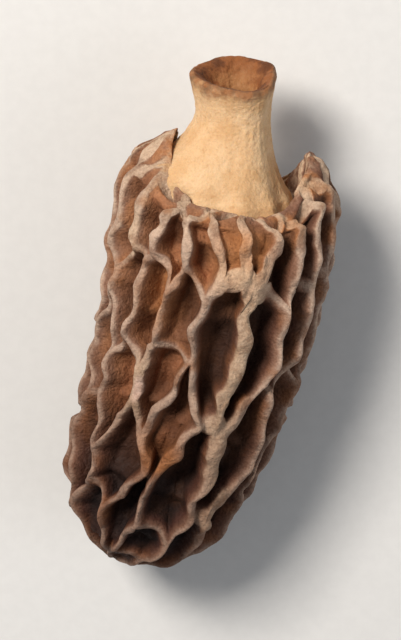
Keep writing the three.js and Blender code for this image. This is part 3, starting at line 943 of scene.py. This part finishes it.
@dataclass(frozen=True)
class CapFinish:
    """Dry cap skin: pale crests, brown pits near the stem and near-black ones below, and painted shade darker to the
    tip.
    """

    crest: Colour = (0.48, 0.34, 0.255)
    # Flank, wall and floor darken down the pits: partly the pits' own colour, partly painted shade by depth.
    flank: Colour = (0.27, 0.145, 0.095)
    wall: Colour = (0.098, 0.038, 0.024)
    floor: Colour = (0.021, 0.009, 0.007)
    # Brown pits near the stem and on the -X side, which faces the key light: partly their own colour, partly painted
    # light.
    brown_wall: Colour = (0.37, 0.175, 0.088)
    brown_floor: Colour = (0.34, 0.142, 0.066)
    amber: Colour = (0.49, 0.2, 0.065)
    grey: Colour = (0.3, 0.23, 0.19)
    cream: Colour = (0.56, 0.4, 0.26)
    rosy: Colour = (0.7, 0.5, 0.4)
    flesh: Colour = (0.56, 0.345, 0.18)
    painted_tip_shade: Colour = (0.57, 0.505, 0.485)
    stain: Colour = (0.5, 0.42, 0.38)
    dust: Colour = (0.45, 0.38, 0.35)
    feel: Feel = Feel((0.62, 0.86), 0.22, 0.8, 0.25, 0.03, 0.5, (0.5, 0.22, 0.1))

    def material(self) -> bpy.types.Material:
        """Builds the material from the mesh's own numbers, with noise at several sizes.

        Returns:
            The material.
        """
        n = Nodes("cap_skin")
        reach, rib = n.number("reach"), n.number("rib")
        patchy, fine, speck = n.noise(2.6, 3), n.noise(0.7, 5, 0.6), n.noise(0.16, 3)
        uneven = n.plus(fine, -0.5)
        near = n.span(n.plus(reach, n.times(uneven, 5)), 2.5, 9, 1, 0)
        torn = n.plus(n.times(near, 0.35), 0.25)
        pit = n.plus(n.number("pit"), n.times(uneven, torn), clamp=True)

        # From crest to floor the colour darkens by the pit number: partly the pits' own darker colour, partly painted
        # shade.
        crests = (0.0, self.crest), (0.08, self.crest), (0.2, self.flank)
        deep = n.ramp(pit, *crests, (0.42, self.wall), (0.8, self.floor))
        shallow = n.ramp(pit, *crests, (0.42, self.brown_wall), (0.8, self.brown_floor))
        # Brown instead of near-black pits near the stem and on the -X side: partly their own colour, partly painted
        # light.
        base = n.mix(n.times(n.number("warm"), n.span(patchy, 0.36, 0.56, 0.55, 1)), deep, shallow)
        base = n.mix(n.times(n.span(patchy, 0.42, 0.62), n.span(pit, 0.05, 0.3, 0.7, 0)), base, self.grey)

        warm = n.times(n.span(patchy, 0.47, 0.66), n.span(pit, 0.2, 0.75, 1, 0.25))
        warm = n.times(warm, n.plus(n.times(near, 0.5), 0.4), clamp=True)
        # The slots and the streak are the skin's own orange; on the orange patch's ridge it is partly a painted
        # highlight.
        orange_and_highlight = n.times(n.number("amber"), n.span(patchy, 0.3, 0.6, 0.55, 0.95))
        base = n.mix(n.maths("MAXIMUM", warm, orange_and_highlight), base, self.amber)

        creamy = n.times(n.maths("MAXIMUM", n.times(near, 0.6), rib), n.span(pit, 0.08, 0.3, 1, 0), clamp=True)
        base = n.mix(creamy, base, n.mix(n.span(rib, 0.62, 0.95), self.cream, self.rosy))
        lip = n.span(n.plus(n.number("lip"), n.times(uneven, 0.9)), 0.5, 0.75, 0, 0.9)
        base = n.mix(lip, base, self.flesh)

        # Painted shade: the colour darkens from the stem towards the tip.
        base = n.mix(n.span(reach, 8, 27), base, self.painted_tip_shade, "MULTIPLY")
        base = n.mix(n.span(n.noise(1.3, 6, 0.72), 0.42, 0.68, 0, 0.7), base, self.stain, "MULTIPLY")
        base = n.mix(n.span(speck, 0.35, 0.7, 0, 0.4), base, self.dust, "MULTIPLY")
        height = n.plus(n.plus(fine, n.times(n.noise(0.3, 4, 0.6), 0.6)), n.times(speck, 0.3))
        return n.skin(base, fine, height, self.feel)


@dataclass(frozen=True)
class StemFinish:
    """Dry stem skin: cream with a mealy grain, ragged brown round the cut end and inside it, and painted shade deep in
    the hollow.
    """

    cream: Colour = (0.55, 0.33, 0.162)
    pale: Colour = (0.62, 0.415, 0.235)
    tan: Colour = (0.42, 0.22, 0.09)
    wall: Colour = (0.33, 0.15, 0.056)
    rim: Colour = (0.215, 0.07, 0.019)
    burnt: Colour = (0.085, 0.027, 0.008)
    # Painted shade deep down the hollow.
    hollow: Colour = (0.11, 0.038, 0.013)
    dust: Colour = (0.6, 0.5, 0.42)
    feel: Feel = Feel((0.66, 0.86), 0.3, 0.65, 0.14, 0.18, 0.7, (0.9, 0.5, 0.25))

    def material(self) -> bpy.types.Material:
        """Builds the material from the mesh's own numbers, with noise at several sizes.

        Returns:
            The material.
        """
        n = Nodes("stem_skin")
        inner, along = n.number("inner"), n.number("along")
        patchy, fine, speck, blotch = n.noise(2.2, 3), n.noise(0.5, 5, 0.6), n.noise(0.14, 3), n.noise(1.5, 4, 0.6)
        base = n.mix(n.span(patchy, 0.35, 0.65), self.cream, self.pale)
        base = n.mix(n.span(fine, 0.52, 0.75, 0, 0.5), base, self.tan)

        uneven = n.times(n.plus(fine, -0.5), 1.2)
        ragged = n.plus(uneven, n.times(n.plus(patchy, -0.5), 2.4))
        cut = n.mix(n.span(blotch, 0.44, 0.6), self.rim, self.burnt)
        base = n.mix(n.span(n.plus(along, ragged), 7.2, 8.4, 0, 0.85), base, cut)

        wall = n.mix(n.span(blotch, 0.42, 0.58), self.wall, self.rim)
        wall = n.mix(n.span(n.plus(along, uneven), 7.1, 8.5, 0, 0.9), wall, cut)
        # Inside, the colour darkens deeper down the hollow: painted shade.
        base = n.mix(inner, base, n.mix(n.span(along, 5.2, 7.6), self.hollow, wall))
        base = n.mix(n.span(speck, 0.45, 0.75, 0, 0.3), base, self.dust, "MULTIPLY")
        height = n.plus(n.plus(n.times(fine, 0.8), n.times(n.noise(0.25, 3, 0.6), 0.5)), n.times(speck, 0.3))
        return n.skin(base, fine, height, self.feel)


@dataclass
class Morel:
    """The cap and the stem, set into the part's frame and dressed."""

    body: Body = Body()

    def registered(self) -> Body:
        """Finds the shift that lays the stem's plain solid over its box in the frame.

        Returns:
            The body with this shift.
        """
        low, high = (np.array(corner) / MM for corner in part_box("stem"))
        stem = Stem(self.body)
        radius, along = np.array(stem.outline).T[..., None]
        turn = 2 * pi * np.arange(stem.sides) / stem.sides
        plain = self.body.tilt(stem.point(radius, along, turn)).reshape(-1, 3)
        shift = (low + high) / 2 - (plain.min(axis=0) + plain.max(axis=0)) / 2
        return replace(self.body, shift=tuple(shift))

    def build(self) -> list[bpy.types.Object]:
        """Builds both pieces.

        Returns:
            The cap and the stem.
        """
        body = self.registered()
        cap = Cap(RidgeNet(Envelope(body))).surface()
        stem = Stem(body).surface()
        return [
            self.piece("cap_skin_fine", "cap", Slot.CAP, body, cap, CapFinish().material()),
            self.piece("stem_skin_fine", "stem", Slot.STEM, body, stem, StemFinish().material()),
        ]

    @staticmethod
    def piece(name: str, node: str, slot: Slot, body: Body, skin: Skin, finish: bpy.types.Material) -> bpy.types.Object:
        """Puts a closed skin into a smooth mesh at the origin, in metres.

        Args:
            name, node, slot: the piece's name, the node that it replaces, and its material slot, which is not used.
            body: lays the points in the frame.
            skin, finish: the corners, triangles and numbers, and the material.

        Returns:
            The piece.
        """
        points, triangles, numbers = skin
        mesh = bpy.data.meshes.new(name)
        mesh.vertices.add(len(points))
        mesh.vertices.foreach_set("co", (body.lay(points) * MM).astype(np.float32).ravel())
        mesh.loops.add(triangles.size)
        mesh.loops.foreach_set("vertex_index", triangles.astype(np.int32).ravel())
        mesh.polygons.add(len(triangles))
        mesh.polygons.foreach_set("loop_start", np.arange(0, triangles.size, 3, dtype=np.int32))
        mesh.polygons.foreach_set("use_smooth", np.ones(len(triangles), bool))
        mesh.update(calc_edges=True)
        for key, values in numbers.items():
            mesh.attributes.new(key, "FLOAT", "POINT").data.foreach_set("value", values.astype(np.float32))
        mesh.materials.append(finish)
        piece = bpy.data.objects.new(name, mesh)
        bpy.context.scene.collection.objects.link(piece)
        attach(piece, "root")
        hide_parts(node)
        return piece


@dataclass(frozen=True)
class Lamp:
    """A square soft light: its place off what it faces and its side in metres, its watts and its colour."""

    name: str
    offset: Numbers
    side: float
    power: float
    colour: Colour

    def hang(self, target: Vector) -> None:
        """Hangs the lamp so that it faces the target.

        Args:
            target: what it faces.
        """
        data = bpy.data.lights.new(self.name, "AREA")
        data.size, data.energy, data.color = self.side, self.power, self.colour
        lamp = bpy.data.objects.new(self.name, data)
        offset = Vector(self.offset)
        turned = offset.to_track_quat("Z", "Y").to_matrix().to_4x4()
        lamp.matrix_world = Matrix.Translation(target + offset) @ turned
        bpy.context.scene.collection.objects.link(lamp)


@dataclass(frozen=True)
class Studio:
    """A pale floor, soft lights and the camera."""

    floor_side: float = 1.2
    floor_colour: Colour = (0.63, 0.62, 0.61)
    floor_tooth: Colour = (0.611, 0.601, 0.592)
    key: Lamp = Lamp("key", (-0.13, 0.16, 0.24), 0.1, 1.4, (1.0, 0.95, 0.88))
    fill: Lamp = Lamp("fill", (0.22, -0.05, 0.18), 0.2, 0.2, (0.9, 0.95, 1.0))
    sky_colour: Colour = (0.95, 0.97, 1.0)
    sky_strength: float = 0.24
    camera_above: float = radians(77)
    lens: float = 200.0
    sensor: float = 36.0
    frame_fill: float = 0.88

    def floor(self) -> None:
        """Lays the floor at Z = 0, a pale sheet with a faint tooth."""
        half = self.floor_side / 2
        mesh = bpy.data.meshes.new("floor")
        mesh.from_pydata([(-half, -half, 0), (half, -half, 0), (half, half, 0), (-half, half, 0)], [], [(0, 1, 2, 3)])
        n = Nodes("floor_paper")
        tooth = n.noise(0.8, 4)
        colour = n.mix(n.span(tooth, 0.3, 0.7), self.floor_tooth, self.floor_colour)
        bump = n.add("Bump", {"Strength": 0.08, "Distance": 0.05 * MM, "Height": tooth})
        mesh.materials.append(n.finish({"Base Color": colour, "Roughness": 0.85, "Normal": bump.outputs["Normal"]}))
        floor = bpy.data.objects.new("floor", mesh)
        bpy.context.scene.collection.objects.link(floor)

    def lights(self, target: Vector) -> None:
        """Hangs a large key light at the upper left and a weak fill at the right, under a pale sky.

        Args:
            target: what both face.
        """
        self.key.hang(target)
        self.fill.hang(target)
        world = bpy.data.worlds.new("sky")
        world.use_nodes = True
        sky = world.node_tree.nodes["Background"]
        sky.inputs["Color"].default_value = (*self.sky_colour, 1)
        sky.inputs["Strength"].default_value = self.sky_strength
        bpy.context.scene.world = world

    def camera(self, low: Vector, high: Vector) -> None:
        """Stands the camera over the mushroom, with the stem at the top of the frame.

        Args:
            low, high: the ends of the part's box.
        """
        c, s = cos(self.camera_above), sin(self.camera_above)
        look, up = Vector((0, -c, -s)), Vector((0, s, -c))
        right = look.cross(up)
        middle = (low + high) / 2
        tall = (high.y - low.y) * s + (high.z - low.z) * c
        data = bpy.data.cameras.new("camera")
        data.lens, data.sensor_width = self.lens, self.sensor
        data.clip_start, data.clip_end = 0.01, 10
        distance = tall / self.frame_fill * self.lens / self.sensor
        camera = bpy.data.objects.new("camera", data)
        turned = Matrix((right, up, -look)).transposed().to_4x4()
        camera.matrix_world = Matrix.Translation(middle - look * distance) @ turned
        bpy.context.scene.collection.objects.link(camera)
        bpy.context.scene.camera = camera


def main() -> None:
    """Builds the mushroom, then the floor, the lights and the camera."""
    logging.basicConfig(level=logging.INFO, format="%(name)s: %(message)s")
    low, high = (Vector(corner) for corner in CAD_BOX)
    for piece in Morel().build():
        LOG.info("%s: %d triangles", piece.name, len(piece.data.polygons))
    studio = Studio()
    studio.floor()
    studio.lights((low + high) / 2)
    studio.camera(low, high)
    bpy.context.scene.view_settings.view_transform = "Standard"


if __name__ == "__main__":
    main()
